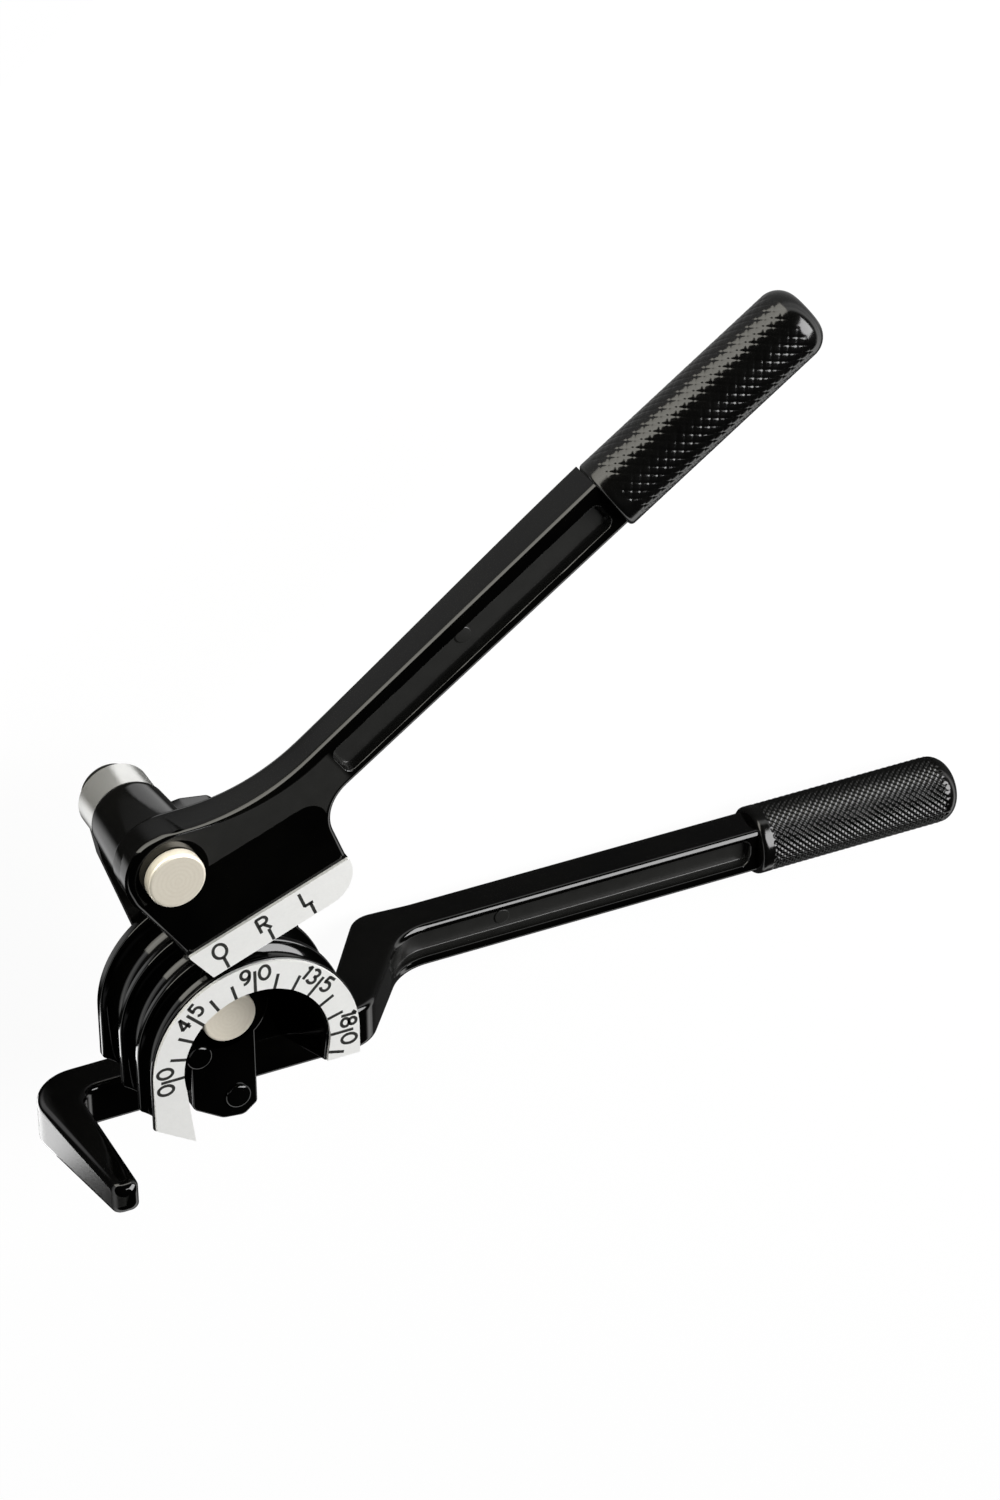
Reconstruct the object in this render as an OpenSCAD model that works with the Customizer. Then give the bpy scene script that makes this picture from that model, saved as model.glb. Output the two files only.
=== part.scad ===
// Hand tube bender for three tube sizes: a grooved die on the lower handle, a grooved shoe on the
// upper handle, and a link that swings the shoe round the die.
// Millimetres. The origin is on the bend axis at the die's back face. +Z points out of the dial,
// +X runs along the lower handle and +Y points towards the upper handle.

/* [Tube grooves] */
// Outside diameter of the largest tube, in the groove nearest the back
large_tube = 9.53; // [8:0.01:12]
// Outside diameter of the middle tube
middle_tube = 7.94; // [6:0.01:10]
// Outside diameter of the smallest tube, in the groove nearest the dial
small_tube = 6.35; // [4:0.01:8]
// Radius of the bent tube's centre line
bend_r = 23.8; // [22:0.1:26]
// Thickness of the flanges between the grooves and at the dial
flange_t = 1.8; // [1.2:0.1:2.5]
// Thickness of the flange at the die's back
back_flange_t = 2.3; // [1.8:0.1:3]

/* [Die] */
// Radial width of the grooved ring
rim_w = 7.45; // [6.5:0.05:8.5]
// Length of the straight left leg below the centre, on its outer side
leg_l = 12.4; // [9:0.1:14]
// How much further that leg's inner side reaches down
leg_slant = 5.7; // [3:0.1:6.5]
// How far that leg's inner side leans in at its foot
leg_lean = 1.9; // [0.5:0.1:3]
// Length of the short straight leg on the right
short_leg_l = 6.9; // [4:0.1:7]
// How far the short leg's inner side leans in at its foot
short_leg_lean = 0.8; // [0.2:0.1:1.5]
// Thickness of the web that closes the ring's back
web_t = 5.5; // [3:0.5:8]
// Radius of the hub round the die pin
hub_r = 10.5; // [9:0.1:12]
// Height of the hub and its foot above the die's back
hub_h = 13.5; // [10:0.5:18]
// Half the width of the die's foot
foot_half_w = 7.5; // [6.5:0.1:8]
// Distance from the die's centre down to the foot's lowest point
foot_drop = 29.6; // [28:0.1:30.5]
// Diameter of the round casting marks on the foot
mark_d = 6; // [4:0.1:6.5]
// Height of those marks
mark_h = 0.4; // [0.2:0.1:0.8]

/* [Scale plates] */
// Thickness of the degree scale and the index scale
scale_t = 0.8; // [0.5:0.1:1.2]
// Painted border left round the degree scale
scale_border = 0.35; // [0.2:0.05:0.8]

/* [Lower handle] */
// Height of the bar behind the die
bar_h = 10.9; // [9:0.1:12]
// Thickness of that bar, front to back
bar_t = 8.8; // [8:0.1:11]
// Distance from the die's centre down to the bar's upper side
bar_drop = 20.8; // [20:0.1:22]
// Free space between the largest tube and the hook
hook_gap = 0.6; // [0.6:0.1:2]
// Thickness of the hook's finger at the bar
finger_t = 9.5; // [7:0.1:11]
// Thickness of the finger at its tip
finger_tip_t = 5.7; // [3.4:0.1:6]
// How far the finger stands out past the dial
finger_rise = 4.0; // [1:0.1:5]
// How much the finger's height narrows towards its tip
finger_taper = 3.4; // [0:0.1:4]
// Outer radius of the corner between the hook and the bar
hook_corner_r = 10.5; // [8:0.5:16]
// Distance from the die's back to the lower arm's centre line
arm_set_back = 27.2; // [24:0.1:32]
// Where the bar starts to bend back into the root
root_start = 40.0; // [38.5:0.1:44]
// Length of the root, from the bar to the arm
root_l = 17.4; // [15:0.1:22]
// Distance from the root's start to the heel behind it
heel_l = 10.6; // [8:0.1:12]
// How far the heel stands out behind the lower arm
heel_h = 0.9; // [0:0.1:2]
// Height of the lower arm
lower_arm_w = 11.6; // [10:0.1:13]
// Thickness of the lower arm, front to back
lower_arm_t = 10; // [9:0.1:13]
// Distance from the die's centre to the lower grip
lower_arm_l = 149.5; // [120:0.5:200]

/* [Upper handle] */
// Direction of the tube in the shoe, from the lower handle, in degrees
shoe_angle = 20.8; // [0:0.1:40]
// Space between the shoe's lip and the die's flanges
lip_gap = 1.2; // [0.8:0.1:2]
// Length of the shoe along the tube
shoe_l = 36.4; // [34:0.1:40]
// Height of the shoe's grooved block
shoe_h = 12.5; // [10.5:0.1:14]
// Radius of the shoe's outer end
shoe_end_r = 7.3; // [5:0.1:7.8]
// Height of the index scale
index_h = 8; // [6:0.1:9]
// Space between the shoe and the lower handle's bar
shoe_clear = 0.6; // [0.4:0.1:1.2]
// Distance along the shoe from the bend's tangent point to the handle pivot
pivot_u = 2.4; // [1:0.1:4]
// Distance from the tube's line through the die's centre to the handle pivot
pivot_n = 53.7; // [50:0.1:58]
// Radius of the pivot barrel at the front
barrel_r = 10.2; // [9.6:0.1:11]
// Draft of the barrel, front to back
barrel_draft = 1.8; // [0.5:0.1:2]
// Distance from the handle pivot to the flat on top of the barrel
barrel_flat = 8.7; // [8.5:0.1:10]
// Angle of the upper arm from the shoe, in degrees
arm_tilt = 14.53; // [12:0.1:16]
// Distance from the die's centre to the upper arm's centre line
arm_n = 43.1; // [41:0.1:45]
// Height of the upper arm
upper_arm_w = 13.4; // [12:0.1:14.5]
// Thickness of the upper arm, front to back
upper_arm_t = 8.4; // [7:0.1:10]
// Distance along the upper arm to the upper grip
upper_arm_l = 132.3; // [110:0.5:180]

/* [Arm pockets] */
// Depth of the pockets in both arms
pocket_depth = 2.3; // [1:0.1:2.8]
// Width of the rim beside each pocket
pocket_rim = 1.6; // [1.2:0.1:3]
// Distance from each pocket's end to the grip
pocket_end = 2.4; // [1:0.1:6]
// Where the lower arm's pockets begin past the root
pocket_start = 1.5; // [1:0.5:20]
// Where the upper arm's pockets begin along that arm
upper_pocket_s = 56; // [50:0.5:70]

/* [Grips] */
// Outside radius of the grips
grip_r = 8.1; // [7.5:0.1:10]
// Length of the lower grip
lower_grip_l = 54; // [40:0.1:80]
// Length of the upper grip
upper_grip_l = 56.2; // [40:0.1:80]
// Radius of each arm's round tang inside its grip
tang_r = 4.6; // [3:0.1:5.5]
// Thickness of each grip's closed end
grip_end_t = 7; // [6.5:0.5:12]
// Radius of each grip's rounded end
grip_round = 5; // [2:0.1:6]

/* [Pivots] */
// Radius of the die pin
die_pin_r = 4; // [3:0.1:4.8]
// Radius of the die pin's head
die_head_r = 6.1; // [5.8:0.1:7.5]
// Height of both pins' heads
head_h = 2.8; // [1.5:0.1:4]
// Radius of the handle pin
handle_pin_r = 4.6; // [3.5:0.1:5]
// Radius of the handle pin's head
handle_head_r = 6.3; // [5.8:0.1:6.8]
// Wall of the bushes round both pins
bush_wall = 1.3; // [0.8:0.1:1.5]
// Length of each bush in the barrel
bush_l = 8; // [5:0.5:10]
// Radius of both pins' ends where they pass through the link
tenon_r = 3; // [2.4:0.1:3.2]
// Thickness of the link
link_t = 3.2; // [2.5:0.1:5]
// Width of the link
link_w = 16; // [14:0.1:17]
// Radius of the link's end at the handle pivot
link_end_r = 6.2; // [5.4:0.1:7]
// Length of the link's narrowing end
link_taper_l = 13; // [8:0.5:20]
// Length of the collar between the link and the barrel
collar_l = 7.5; // [5:0.1:9]
// Radius of that collar
collar_r = 8.0; // [7.6:0.1:8.4]
// Thickness of the washers
washer_t = 0.5; // [0.4:0.1:0.8]
// Radius of the washers behind the link
tail_washer_r = 5; // [4.6:0.1:5.3]
// Radius of the riveted pin ends behind the link
tail_r = 4.2; // [3.8:0.1:4.5]
// Height of those riveted ends
tail_h = 1.1; // [0.8:0.1:1.5]
// Diameter of the rivets that hold the die on the bar
rivet_d = 4; // [3:0.1:5]
// Distance between those rivets
rivet_pitch = 7; // [6:0.1:7.5]

/* [Clearances] */
// Radial clearance of the pins in their bushes
running_fit = 0.05; // [0.02:0.01:0.09]
// Radial clearance of pieces that are pressed or riveted together
seat_fit = 0.03; // [0.01:0.01:0.05]
// Space between faces that slide past each other
slide_gap = 0.25; // [0.2:0.05:0.5]

/* [Hidden] */
$fn = 64;

// Each groove as [tube diameter, height of its centre above the die's back]
large_z = back_flange_t + large_tube / 2;
middle_z = back_flange_t + large_tube + flange_t + middle_tube / 2;
small_z = middle_z + middle_tube / 2 + flange_t + small_tube / 2;
grooves = [[large_tube, large_z], [middle_tube, middle_z], [small_tube, small_z]];
dial_z = small_z + small_tube / 2 + flange_t;
body_z = dial_z - scale_t;
rim_in_r = bend_r - rim_w;

// Lower handle
hook_x = -(bend_r + large_tube / 2 + hook_gap);
finger_tip_z = dial_z + finger_rise;
bar_mid_y = -bar_drop - bar_h / 2;
bar_low_y = -bar_drop - bar_h;
arm_front_z = -arm_set_back + lower_arm_t / 2;
arm_back_z = -arm_set_back - lower_arm_t / 2;
root_end = root_start + root_l;
heel_x = root_start + heel_l;
heel_z = arm_back_z - heel_h;
heel_run = 13;
root_lead = 6.5;
bar_lead = 15;
finger_flare = 1.4;

// Foot of the die, a little to the left of its centre, and the rivets behind it
foot_shift = 0.5;
foot_margin = 0.5;
foot_left = -foot_half_w - foot_shift;
foot_right = foot_half_w - foot_shift;
foot_y = -min(foot_drop, bar_drop + bar_h - foot_margin);
foot_left_rise = 5.2;
foot_right_rise = 2.6;
marks = [[foot_left + 1.7, 0.2 - hub_r], [foot_right - 4.7, -bar_drop - 2.6]];
web_lap = 1;
web_drop = 10.1;
rivet_y = bar_mid_y + 0.9;
rivet_cover = 3;
rivet_end_gap = 1;

// Upper handle, in the shoe's frame: u along the tube, n away from the die
lip_n = bend_r + lip_gap;
shoe_left = -0.3;
shoe_right = shoe_left + shoe_l;
wall_n = lip_n + index_h;
wall_lean = 2.6;
wall_left = shoe_left - wall_lean;
saddle_u = pivot_u + 24;
barrel_left = pivot_u - barrel_r;
barrel_low_n = pivot_n - 3;
spine_u = pivot_u + 17;
arm_mid_z = body_z - upper_arm_t / 2;
arm_under_n = arm_n - upper_arm_w / 2;
arm_over_n = arm_n + upper_arm_w / 2;

// Pivot stacks, front to back
link_front_z = -slide_gap - washer_t;
link_back_z = link_front_z - link_t;
tail_z = link_back_z - washer_t;
die_head_z = hub_h + slide_gap;
barrel_back_z = link_front_z + collar_l + slide_gap;
washer_sink = 0.1;
washer_brim = 1.1;
washer_play = 0.3;
washer_seat_z = body_z - washer_t - washer_sink;
handle_head_z = body_z + slide_gap - washer_sink;
die_bush_r = die_pin_r + running_fit + bush_wall;
barrel_bush_r = handle_pin_r + running_fit + bush_wall;
head_washer_r = handle_head_r + washer_brim;
link_angle = atan2(pivot_n, pivot_u);
link_l = norm([pivot_u, pivot_n]);
cut = 0.01;
reach = 100;

// Height on a line at distance d from the die's centre, tilted as the upper arm, at a given u
function arm_line(d, u) = (d + u * sin(arm_tilt)) / cos(arm_tilt);

// Point at distance s along the upper arm and d from the die's centre, rounded with radius r
function arm_point(s, d, r) =
    [s * cos(arm_tilt) - d * sin(arm_tilt), s * sin(arm_tilt) + d * cos(arm_tilt), r];

function unit(v) = v / norm(v);

// Arc that rounds the corner q between its neighbours p and s with radius r
function corner(p, q, s, r) =
    let (a = unit(p - q), b = unit(s - q), half = acos(a * b) / 2)
    let (mid = q + unit(a + b) * r / sin(half))
    let (from = q + a * r / tan(half) - mid, to = q + b * r / tan(half) - mid)
    let (start = atan2(from[1], from[0]), turn = atan2(to[1], to[0]) - start)
    let (sweep = turn > 180 ? turn - 360 : turn < -180 ? turn + 360 : turn)
    let (steps = max(2, ceil(abs(sweep) / 7.5)))
    [for (i = [0:steps]) mid + r * [cos(start + sweep * i / steps), sin(start + sweep * i / steps)]];

// Outline through points [x, y, r], each rounded with its own radius
function rounded(pts) =
    let (n = len(pts), xy = [for (p = pts) [p[0], p[1]]])
    [for (i = [0:n - 1])
        each pts[i][2] > 0 ? corner(xy[(i + n - 1) % n], xy[i], xy[(i + 1) % n], pts[i][2]) : [xy[i]]];

module ring(outer, inner, h) {
    difference() {
        cylinder(r = outer, h = h);
        translate([0, 0, -cut]) cylinder(r = inner, h = h + 2 * cut);
    }
}

module at_pivot() {
    rotate(shoe_angle) translate([pivot_u, pivot_n, 0]) children();
}

module along_lower_arm(x) {
    translate([x, bar_mid_y, -arm_set_back]) rotate([90, 0, 90]) children();
}

module along_upper_arm(s) {
    rotate(shoe_angle + arm_tilt) translate([s, arm_n, arm_mid_z]) rotate([90, 0, 90]) children();
}

// Inner corner of the left leg's foot, drawn in by the inset
function leg_corner(inset) = [-rim_in_r + leg_lean - inset, -leg_l - leg_slant + 1.6 * inset];

// Inner corner of the short right leg's foot, drawn in by the inset
function short_leg_corner(inset) = [rim_in_r - short_leg_lean + inset, -short_leg_l + inset];

// Front view of the die's left leg
module leg_outline() {
    polygon([[-bend_r, 0], [-bend_r, -leg_l], leg_corner(0), [-rim_in_r, 0]]);
}

// Front view of the die's short right leg
module short_leg_outline() {
    polygon([[bend_r, 0], [bend_r, -short_leg_l], short_leg_corner(0), [rim_in_r, 0]]);
}

// Front view of the die's ring and both legs in one piece, drawn in by the inset
module dial_outline(inset) {
    left = leg_corner(inset);
    right = short_leg_corner(inset);
    outer = bend_r - inset;
    inner = rim_in_r + inset;
    difference() {
        union() {
            circle(r = outer);
            translate([-outer, -reach]) square([2 * outer, reach]);
        }
        circle(r = inner);
        polygon([[inner, 0], right, [reach, right[1]], [reach, -2 * reach], [-reach, -2 * reach],
            [-reach, -leg_l + inset], [-outer, -leg_l + inset], left, [-inner, 0]]);
    }
}

module foot_outline() {
    polygon(rounded([[foot_left, 0, 0], [foot_right, 0, 0], [foot_right, foot_y + foot_right_rise, 1.5],
        [2 * foot_shift, foot_y, 3], [foot_left, foot_y + foot_left_rise, 2]]));
}

// Section of the ring, with a half-round groove for each tube
module groove_section(inner_r) {
    difference() {
        translate([inner_r, 0]) square([bend_r - inner_r, body_z]);
        for (g = grooves) translate([bend_r, g[1]]) circle(d = g[0]);
    }
}

module grooved_ring() {
    intersection() {
        rotate_extrude() groove_section(rim_in_r);
        linear_extrude(body_z) translate([-reach, 0]) square([2 * reach, reach]);
    }
}

module grooved_leg() {
    intersection() {
        rotate([90, 0, 0]) linear_extrude(leg_l + leg_slant + cut)
            mirror([1, 0]) groove_section(rim_in_r - leg_lean);
        linear_extrude(body_z) leg_outline();
    }
}

module grooved_short_leg() {
    intersection() {
        rotate([90, 0, 0]) linear_extrude(short_leg_l + cut) groove_section(rim_in_r - short_leg_lean);
        linear_extrude(body_z) short_leg_outline();
    }
}

// Web across the ring's back, carried on down between the legs and the foot
module die_web() {
    low = -short_leg_l;
    intersection() {
        circle(r = rim_in_r + web_lap);
        translate([-reach, low + web_lap]) square([2 * reach, reach]);
    }
    polygon([[0, 0], [-rim_in_r - web_lap, 0],
        [-rim_in_r + leg_lean - web_lap, -leg_l - leg_slant + 2 * web_lap],
        [-foot_half_w, foot_y + foot_left_rise + web_lap]]);
    polygon([[0, 0], [0, low - web_drop], [rim_in_r + web_lap / 2, low - web_drop],
        [rim_in_r + web_lap, low + web_lap]]);
}

module lower_side_view() {
    polygon(rounded([[hook_x, 0, 2], [root_start, 0, 10], [root_end, arm_front_z, 14],
        [lower_arm_l, arm_front_z, 0], [lower_arm_l, arm_back_z, 0], [heel_x + heel_run, arm_back_z, 20],
        [heel_x, heel_z, 6], [root_start - root_lead, -bar_t, 10],
        [hook_x - finger_t - finger_flare, -bar_t, hook_corner_r],
        [hook_x - finger_tip_t, finger_tip_z, 1.6], [hook_x, finger_tip_z, 1.6]]));
}

module lower_front_view() {
    arm_low = bar_mid_y - lower_arm_w / 2;
    arm_high = bar_mid_y + lower_arm_w / 2;
    polygon([[-reach, bar_low_y], [root_start - bar_lead, bar_low_y], [root_start, arm_low],
        [lower_arm_l, arm_low], [lower_arm_l, arm_high], [root_end, arm_high], [root_start, -bar_drop],
        [-reach, -bar_drop]]);
}

module finger_cut() {
    translate([-reach, 0, 0]) rotate([90, 0, 90]) linear_extrude(reach + hook_x + cut)
        polygon([[bar_low_y - cut, 0], [bar_low_y + finger_taper, finger_tip_z + cut],
            [-reach, finger_tip_z + cut], [-reach, 0]]);
}

// One long pocket with rounded ends, cut down from its plane
module pocket(l, w, end_r) {
    linear_extrude(pocket_depth + cut)
        polygon(rounded([[0, -w / 2, end_r], [l, -w / 2, end_r], [l, w / 2, end_r], [0, w / 2, end_r]]));
}

module lower_handle() color("#1c1c1e") {
    pocket_x = root_end + pocket_start;
    pocket_l = lower_arm_l - pocket_end - pocket_x;
    pocket_w = lower_arm_w - 2 * pocket_rim;
    difference() {
        intersection() {
            translate([0, reach, 0]) rotate([90, 0, 0]) linear_extrude(2 * reach) lower_side_view();
            translate([0, 0, -reach]) linear_extrude(2 * reach) lower_front_view();
        }
        finger_cut();
        translate([pocket_x, bar_mid_y, arm_front_z - pocket_depth]) pocket(pocket_l, pocket_w, 1.8);
        translate([pocket_x, bar_mid_y, arm_back_z - cut]) pocket(pocket_l, pocket_w, 1.8);
        for (side = [-1, 1])
            translate([side * rivet_pitch / 2, rivet_y, -bar_t - cut])
                cylinder(d = rivet_d + 2 * seat_fit, h = bar_t + 2 * cut);
    }
    along_lower_arm(lower_arm_l - cut) cylinder(r = tang_r, h = lower_grip_l - grip_end_t + cut);
}

module bending_die() color("#1c1c1e") difference() {
    union() {
        grooved_ring();
        grooved_leg();
        grooved_short_leg();
        linear_extrude(web_t) die_web();
        cylinder(r = hub_r, h = hub_h);
        linear_extrude(hub_h) foot_outline();
        for (m = marks) translate([m[0], m[1], 0]) cylinder(d = mark_d, h = hub_h + mark_h);
    }
    translate([0, 0, -cut]) cylinder(r = die_bush_r + seat_fit, h = hub_h + 2 * cut);
    for (side = [-1, 1])
        translate([side * rivet_pitch / 2, rivet_y, -cut])
            cylinder(d = rivet_d + 2 * seat_fit, h = hub_h - rivet_cover);
}

module die_rivets() color("#1c1c1e") {
    for (side = [-1, 1])
        translate([side * rivet_pitch / 2, rivet_y, -bar_t])
            cylinder(d = rivet_d, h = bar_t + hub_h - rivet_cover - rivet_end_gap);
}

module degree_scale() color("#e3e3e1") {
    translate([0, 0, body_z]) linear_extrude(scale_t) dial_outline(scale_border);
}

// Closed sleeve with a rounded end, standing on its open shoulder
module grip(l) {
    bore_l = l - grip_end_t + seat_fit;
    rotate_extrude() polygon(rounded([[tang_r + seat_fit, 0, 0], [grip_r, 0, 0.6], [grip_r, l, grip_round],
        [0, l, 0], [0, bore_l, 0], [tang_r + seat_fit, bore_l, 0]]));
}

module lower_grip() color("#1a1a1c") along_lower_arm(lower_arm_l) grip(lower_grip_l);

module upper_grip() color("#1a1a1c") along_upper_arm(upper_arm_l) grip(upper_grip_l);

module die_bush() color("#b08d57") ring(die_bush_r, die_pin_r + running_fit, hub_h);

module link_outline() {
    circle(d = link_w);
    translate([link_l, 0]) circle(r = link_end_r);
    polygon([[0, -link_w / 2], [link_l - link_taper_l, -link_w / 2], [link_l, -link_end_r],
        [link_l, link_end_r], [link_l - link_taper_l, link_w / 2], [0, link_w / 2]]);
}

module link_plate() color("#242426") difference() {
    translate([0, 0, link_back_z]) rotate(shoe_angle + link_angle) linear_extrude(link_t) link_outline();
    translate([0, 0, link_back_z - cut]) cylinder(r = tenon_r + seat_fit, h = link_t + 2 * cut);
    at_pivot() translate([0, 0, link_back_z - cut]) cylinder(r = tenon_r + seat_fit, h = link_t + 2 * cut);
}

module thrust_washer() color("#b9bcc0") {
    translate([0, 0, link_front_z]) ring(link_w / 2 - 0.6, die_pin_r + seat_fit, washer_t);
}

// Shouldered pin with a low head at the front, whose thin end is riveted behind the link
module headed_pin(r, head_r, head_z) {
    translate([0, 0, link_front_z]) cylinder(r = r, h = head_z - link_front_z + cut);
    translate([0, 0, tail_z - cut]) cylinder(r = tenon_r, h = link_front_z - tail_z + 2 * cut);
    translate([0, 0, head_z]) rotate_extrude()
        polygon(rounded([[0, 0, 0], [head_r, 0, 0.3], [head_r, head_h, 0.7], [0, head_h, 0]]));
    translate([0, 0, tail_z]) rotate_extrude()
        polygon(rounded([[0, 0, 0], [0, -tail_h, 0], [tail_r, -tail_h, 0.7], [tail_r, 0, 0]]));
}

module tail_washer() {
    translate([0, 0, tail_z]) ring(tail_washer_r, tenon_r + seat_fit, washer_t);
}

module die_pin() color("#d2bf97") headed_pin(die_pin_r, die_head_r, die_head_z);

module die_tail_washer() color("#b9bcc0") tail_washer();

module handle_pin() color("#d2bf97") at_pivot() headed_pin(handle_pin_r, handle_head_r, handle_head_z);

module handle_tail_washer() color("#b9bcc0") at_pivot() tail_washer();

module pivot_collar() color("#c9ccd0") {
    at_pivot() translate([0, 0, link_front_z]) ring(collar_r, handle_pin_r + seat_fit, collar_l);
}

module shoe_outline() {
    polygon(rounded([[shoe_left, lip_n, 0.4], [shoe_right, lip_n, shoe_end_r],
        [shoe_right, lip_n + shoe_h, 0], [wall_left, lip_n + shoe_h, 0], [wall_left, wall_n, 0]]));
}

// Front plate from the shoe round the barrel and along the arm to the grip
module plate_outline() {
    polygon(rounded([[shoe_left, lip_n, 0.4], [shoe_right, lip_n, shoe_end_r],
        [shoe_right, arm_line(arm_under_n, shoe_right), 9], arm_point(upper_arm_l, arm_under_n, 0),
        arm_point(upper_arm_l, arm_over_n, 0), [saddle_u, arm_line(arm_over_n, saddle_u), 16],
        [pivot_u + 3.6, pivot_n + barrel_flat - 0.3, 0], [barrel_left + 0.9, barrel_low_n, 0],
        [wall_left, wall_n, 3]]));
}

// Thick part of the neck that ties the barrel to the shoe
module spine_outline() {
    polygon([[wall_left, wall_n], [spine_u, wall_n], [spine_u, pivot_n - 6], [spine_u - 6, pivot_n - 2.6],
        [pivot_u, pivot_n], [barrel_left + 2.4, barrel_low_n]]);
}

// Pivot barrel, with draft and a flat on its upper side
module barrel() {
    h = body_z - barrel_back_z;
    translate([0, 0, barrel_back_z]) intersection() {
        cylinder(r1 = barrel_r - barrel_draft, r2 = barrel_r, h = h);
        translate([-reach, barrel_flat - 2 * reach, 0]) cube([2 * reach, 2 * reach, h]);
    }
}

module upper_handle() color("#1c1c1e") {
    pocket_l = upper_arm_l - pocket_end - upper_pocket_s;
    pocket_w = upper_arm_w - 2 * pocket_rim - 0.6;
    difference() {
        union() {
            rotate(shoe_angle) {
                translate([0, 0, shoe_clear]) linear_extrude(body_z - shoe_clear) shoe_outline();
                translate([0, 0, body_z - upper_arm_t]) linear_extrude(upper_arm_t) plate_outline();
                translate([0, 0, barrel_back_z]) linear_extrude(body_z - barrel_back_z - cut) spine_outline();
            }
            at_pivot() barrel();
        }
        rotate(shoe_angle) for (g = grooves)
            translate([-reach, bend_r, g[1]]) rotate([0, 90, 0]) cylinder(d = g[0], h = 2 * reach);
        rotate(shoe_angle + arm_tilt) {
            translate([upper_pocket_s, arm_n, body_z - pocket_depth]) pocket(pocket_l, pocket_w, 2.5);
            translate([upper_pocket_s, arm_n, body_z - upper_arm_t - cut]) pocket(pocket_l, pocket_w, 2.5);
        }
        at_pivot() {
            translate([0, 0, barrel_back_z - cut]) cylinder(r = barrel_bush_r + seat_fit, h = reach);
            translate([0, 0, washer_seat_z]) cylinder(r = head_washer_r + washer_play, h = reach);
        }
    }
    along_upper_arm(upper_arm_l - cut) cylinder(r = tang_r, h = upper_grip_l - grip_end_t + cut);
}

module index_scale() color("#e3e3e1") {
    rotate(shoe_angle) translate([0, 0, body_z]) linear_extrude(scale_t)
        polygon(rounded([[shoe_left, lip_n, 0.4], [shoe_right, lip_n, shoe_end_r],
            [shoe_right, wall_n, 0.4], [wall_left, wall_n, 0.4]]));
}

module barrel_bushes() color("#b08d57") at_pivot() {
    for (z = [barrel_back_z, washer_seat_z - bush_l])
        translate([0, 0, z]) ring(barrel_bush_r, handle_pin_r + running_fit, bush_l);
}

module head_washer() color("#b9bcc0") at_pivot() {
    translate([0, 0, washer_seat_z]) ring(head_washer_r, handle_pin_r + slide_gap, washer_t);
}

lower_handle();
bending_die();
die_rivets();
degree_scale();
lower_grip();
die_bush();
link_plate();
thrust_washer();
die_pin();
die_tail_washer();
handle_pin();
pivot_collar();
handle_tail_washer();
upper_handle();
index_scale();
upper_grip();
barrel_bushes();
head_washer();
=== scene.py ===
import bpy
import numpy as np
from mathutils import Matrix, Vector


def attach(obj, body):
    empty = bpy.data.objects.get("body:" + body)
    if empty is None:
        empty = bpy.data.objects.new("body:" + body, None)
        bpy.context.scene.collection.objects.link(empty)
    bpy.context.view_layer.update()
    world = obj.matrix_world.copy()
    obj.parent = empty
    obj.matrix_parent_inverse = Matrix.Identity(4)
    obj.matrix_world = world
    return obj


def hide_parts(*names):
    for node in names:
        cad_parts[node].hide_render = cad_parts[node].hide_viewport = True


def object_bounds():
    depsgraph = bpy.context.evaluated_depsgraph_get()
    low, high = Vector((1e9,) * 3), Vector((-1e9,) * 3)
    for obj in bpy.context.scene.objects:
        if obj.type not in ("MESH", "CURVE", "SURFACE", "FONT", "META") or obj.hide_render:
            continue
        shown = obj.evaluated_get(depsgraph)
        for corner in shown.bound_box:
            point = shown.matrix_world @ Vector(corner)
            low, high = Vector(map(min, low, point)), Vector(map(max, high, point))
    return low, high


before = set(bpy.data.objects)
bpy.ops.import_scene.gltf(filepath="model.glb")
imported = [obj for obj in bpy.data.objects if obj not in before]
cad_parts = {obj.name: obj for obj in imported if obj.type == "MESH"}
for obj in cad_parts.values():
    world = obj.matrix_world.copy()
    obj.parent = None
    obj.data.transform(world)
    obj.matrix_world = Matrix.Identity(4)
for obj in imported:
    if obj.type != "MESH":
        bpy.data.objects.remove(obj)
solid_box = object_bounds()


# Lower handle: one metal casting with the holding hook, the bar behind the die, the cranked root and the
# pocketed arm, whose round tang carries the grip. Gloss black paint covers its rounded edges.
def unit(vectors):
    """Each vector divided by its own length."""
    return vectors / np.linalg.norm(vectors, axis=-1, keepdims=True)


def smooth(values):
    """3t^2 - 2t^3 between 0 and 1, level outside."""
    t = np.clip(values, 0, 1)
    return t * t * (3 - 2 * t)


def contour(corners):
    """Line through corners (x, y, r): straight runs joined by arcs that touch both runs.
    An arc's spoke is (first sin((1-f)t) + last sin(ft)) / sin(t) for its turn t, with f from 0 to 1.
    Returns the points, their lengths along the line, and the lengths where arcs start and end."""
    arc_points = 13
    f = np.linspace(0, 1, arc_points)[:, None]
    spots = np.array(corners, float)
    runs = [spots[:1, :2]]
    for before, here, after in zip(spots[:-2, :2], spots[1:-1], spots[2:, :2]):
        corner, r = here[:2], here[2]
        back, on = unit(before - corner), unit(after - corner)
        half = np.arccos(back @ on) / 2
        turn = np.pi - 2 * half
        middle = corner + unit(back + on) * r / np.sin(half)
        first = corner + back * r / np.tan(half) - middle
        last = corner + on * r / np.tan(half) - middle
        runs.append(middle + (first * np.sin((1 - f) * turn) + last * np.sin(f * turn)) / np.sin(turn))
    line = np.vstack([*runs, spots[-1:, :2]])
    lengths = np.append(0, np.cumsum(np.linalg.norm(np.diff(line, axis=0), axis=1)))
    starts = 1 + arc_points * np.arange(len(spots) - 2)
    return line, lengths, np.stack([lengths[starts], lengths[starts + arc_points - 1]], axis=1).ravel()


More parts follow.
